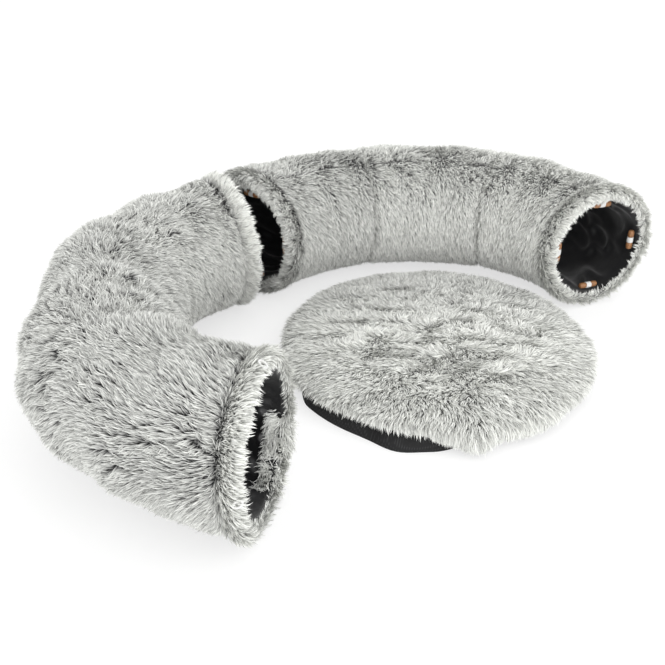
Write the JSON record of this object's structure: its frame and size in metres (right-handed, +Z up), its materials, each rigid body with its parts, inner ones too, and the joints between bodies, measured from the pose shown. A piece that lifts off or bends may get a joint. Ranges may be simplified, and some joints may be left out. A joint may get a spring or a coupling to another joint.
{
  "type": "donut cat tunnel",
  "caption": "Faux-fur cat tunnel in two half rings that toggle together into a donut round a loose round cushion, with sprung mouths, elastic loops and wooden toggles.",
  "frame": {"origin": "on the floor, under the middle of the box round the whole set-out at rest (half rings opened out, cushion in front of the right one)", "axes": "+Z up; +Y away from the side that the picture is taken from; +X to that viewer's right"},
  "size_m": [1.149, 1.1324, 0.2622],
  "materials": {
    "pile_fur": "long-pile frosted grey faux fur",
    "black_satin": "thin crumpled lining cloth",
    "black_weave": "woven cloth",
    "spring_wire": "drawn spring wire",
    "turned_wood": "turned and oiled",
    "white_elastic": "flat woven elastic",
    "wadding": "polyester wadding"
  },
  "bodies": {
    "loop_middle": {"loop_cover_2": "pile_fur", "loop_lining_2": "black_satin", "loop_seam_hoop_1": "spring_wire", "loop_seam_hoop_2": "spring_wire"},
    "loop_free_end": {"loop_cover_1": "pile_fur", "loop_lining_1": "black_satin", "loop_free_roll": "pile_fur", "loop_free_hoop": "spring_wire", "loop_free_loop_left": "white_elastic", "loop_free_loop_top": "white_elastic", "loop_free_loop_right": "white_elastic", "loop_free_loop_bottom": "white_elastic"},
    "loop_join_end": {"loop_cover_3": "pile_fur", "loop_lining_3": "black_satin", "loop_join_roll": "pile_fur", "loop_join_hoop": "spring_wire", "loop_join_loop_left": "white_elastic", "loop_join_loop_top": "white_elastic", "loop_join_loop_right": "white_elastic", "loop_join_loop_bottom": "white_elastic"},
    "toggle_join_end": {"toggle_cover_1": "pile_fur", "toggle_lining_1": "black_satin", "toggle_join_roll": "pile_fur", "toggle_join_hoop": "spring_wire"},
    "toggle_middle": {"toggle_cover_2": "pile_fur", "toggle_lining_2": "black_satin", "toggle_seam_hoop_1": "spring_wire", "toggle_seam_hoop_2": "spring_wire"},
    "toggle_free_end": {"toggle_cover_3": "pile_fur", "toggle_lining_3": "black_satin", "toggle_free_roll": "pile_fur", "toggle_free_hoop": "spring_wire"},
    "cushion": {"cushion_top": "pile_fur", "cushion_base": "black_weave", "cushion_fill": "wadding"},
    "toggle_join_toggle_left": {"toggle_join_toggle_left": "turned_wood", "toggle_join_band_left": "white_elastic"},
    "toggle_join_toggle_top": {"toggle_join_toggle_top": "turned_wood", "toggle_join_band_top": "white_elastic"},
    "toggle_join_toggle_right": {"toggle_join_toggle_right": "turned_wood", "toggle_join_band_right": "white_elastic"},
    "toggle_join_toggle_bottom": {"toggle_join_toggle_bottom": "turned_wood", "toggle_join_band_bottom": "white_elastic"},
    "toggle_free_toggle_left": {"toggle_free_toggle_left": "turned_wood", "toggle_free_band_left": "white_elastic"},
    "toggle_free_toggle_top": {"toggle_free_toggle_top": "turned_wood", "toggle_free_band_top": "white_elastic"},
    "toggle_free_toggle_right": {"toggle_free_toggle_right": "turned_wood", "toggle_free_band_right": "white_elastic"},
    "toggle_free_toggle_bottom": {"toggle_free_toggle_bottom": "turned_wood", "toggle_free_band_bottom": "white_elastic"}
  },
  "joints": [
    {"name": "loop_free_bend", "type": "hinge", "parent": "loop_middle", "child": "loop_free_end", "pos_m": [-0.27868, -0.21784, 0], "axis": [0, 0, 1], "range_deg": [0, 15.7]},
    {"name": "loop_join_bend", "type": "hinge", "parent": "loop_middle", "child": "loop_join_end", "pos_m": [-0.31452, -0.01968, 0], "axis": [0, 0, -1], "range_deg": [0, 29.75]},
    {"name": "join_swing", "type": "hinge", "parent": "loop_join_end", "child": "toggle_join_end", "pos_m": [-0.32155, 0.31015, 0], "axis": [0, 0, -1], "range_deg": [0, 17.91]},
    {"name": "toggle_join_bend", "type": "hinge", "parent": "toggle_join_end", "child": "toggle_middle", "pos_m": [0.0217, 0.29691, 0], "axis": [0, 0, -1], "range_deg": [0, 37.58], "deforming": ["cushion_top", "cushion_base", "cushion_fill"]},
    {"name": "toggle_free_bend", "type": "hinge", "parent": "toggle_middle", "child": "toggle_free_end", "pos_m": [0.22751, 0.28487, 0], "axis": [0, 0, -1], "range_deg": [0, 22.48]},
    {"name": "cushion_slide", "type": "slide", "parent": "loop_middle", "child": "cushion", "axis": [-0.9308, -0.3655, 0], "range_m": [0, 0.2539]},
    {"name": "toggle_join_toggle_left_turn", "type": "hinge", "parent": "toggle_join_end", "child": "toggle_join_toggle_left", "pos_m": [-0.16643, 0.21501, 0.12889], "axis": [0.776, -0.6307, 0], "range_deg": [-90, 90]},
    {"name": "toggle_join_toggle_top_turn", "type": "hinge", "parent": "toggle_join_end", "child": "toggle_join_toggle_top", "pos_m": [-0.2344, 0.27025, 0.21648], "axis": [0, 0, 1], "range_deg": [-90, 90]},
    {"name": "toggle_join_toggle_right_turn", "type": "hinge", "parent": "toggle_join_end", "child": "toggle_join_toggle_right", "pos_m": [-0.30237, 0.32549, 0.12889], "axis": [-0.776, 0.6307, 0], "range_deg": [-90, 90]},
    {"name": "toggle_join_toggle_bottom_turn", "type": "hinge", "parent": "toggle_join_end", "child": "toggle_join_toggle_bottom", "pos_m": [-0.2344, 0.27025, 0.0413], "axis": [0, 0, -1], "range_deg": [-90, 90]},
    {"name": "toggle_free_toggle_left_turn", "type": "hinge", "parent": "toggle_free_end", "child": "toggle_free_toggle_left", "pos_m": [0.53843, 0.24188, 0.12889], "axis": [0.9342, 0.3567, 0], "range_deg": [-90, 90]},
    {"name": "toggle_free_toggle_top_turn", "type": "hinge", "parent": "toggle_free_end", "child": "toggle_free_toggle_top", "pos_m": [0.45661, 0.21063, 0.21648], "axis": [0, 0, 1], "range_deg": [-90, 90]},
    {"name": "toggle_free_toggle_right_turn", "type": "hinge", "parent": "toggle_free_end", "child": "toggle_free_toggle_right", "pos_m": [0.37478, 0.17938, 0.12889], "axis": [-0.9342, -0.3567, 0], "range_deg": [-90, 90]},
    {"name": "toggle_free_toggle_bottom_turn", "type": "hinge", "parent": "toggle_free_end", "child": "toggle_free_toggle_bottom", "pos_m": [0.45661, 0.21063, 0.0413], "axis": [0, 0, -1], "range_deg": [-90, 90]}
  ],
  "couplings": [
    {"joint": "loop_free_bend", "follows": "toggle_join_bend", "ratio": 0.4176},
    {"joint": "loop_join_bend", "follows": "toggle_join_bend", "ratio": 0.79148},
    {"joint": "join_swing", "follows": "toggle_join_bend", "ratio": 0.47627},
    {"joint": "toggle_free_bend", "follows": "toggle_join_bend", "ratio": 0.59797},
    {"joint": "cushion_slide", "follows": "toggle_join_bend", "m_per_rad": 0.38691}
  ]
}
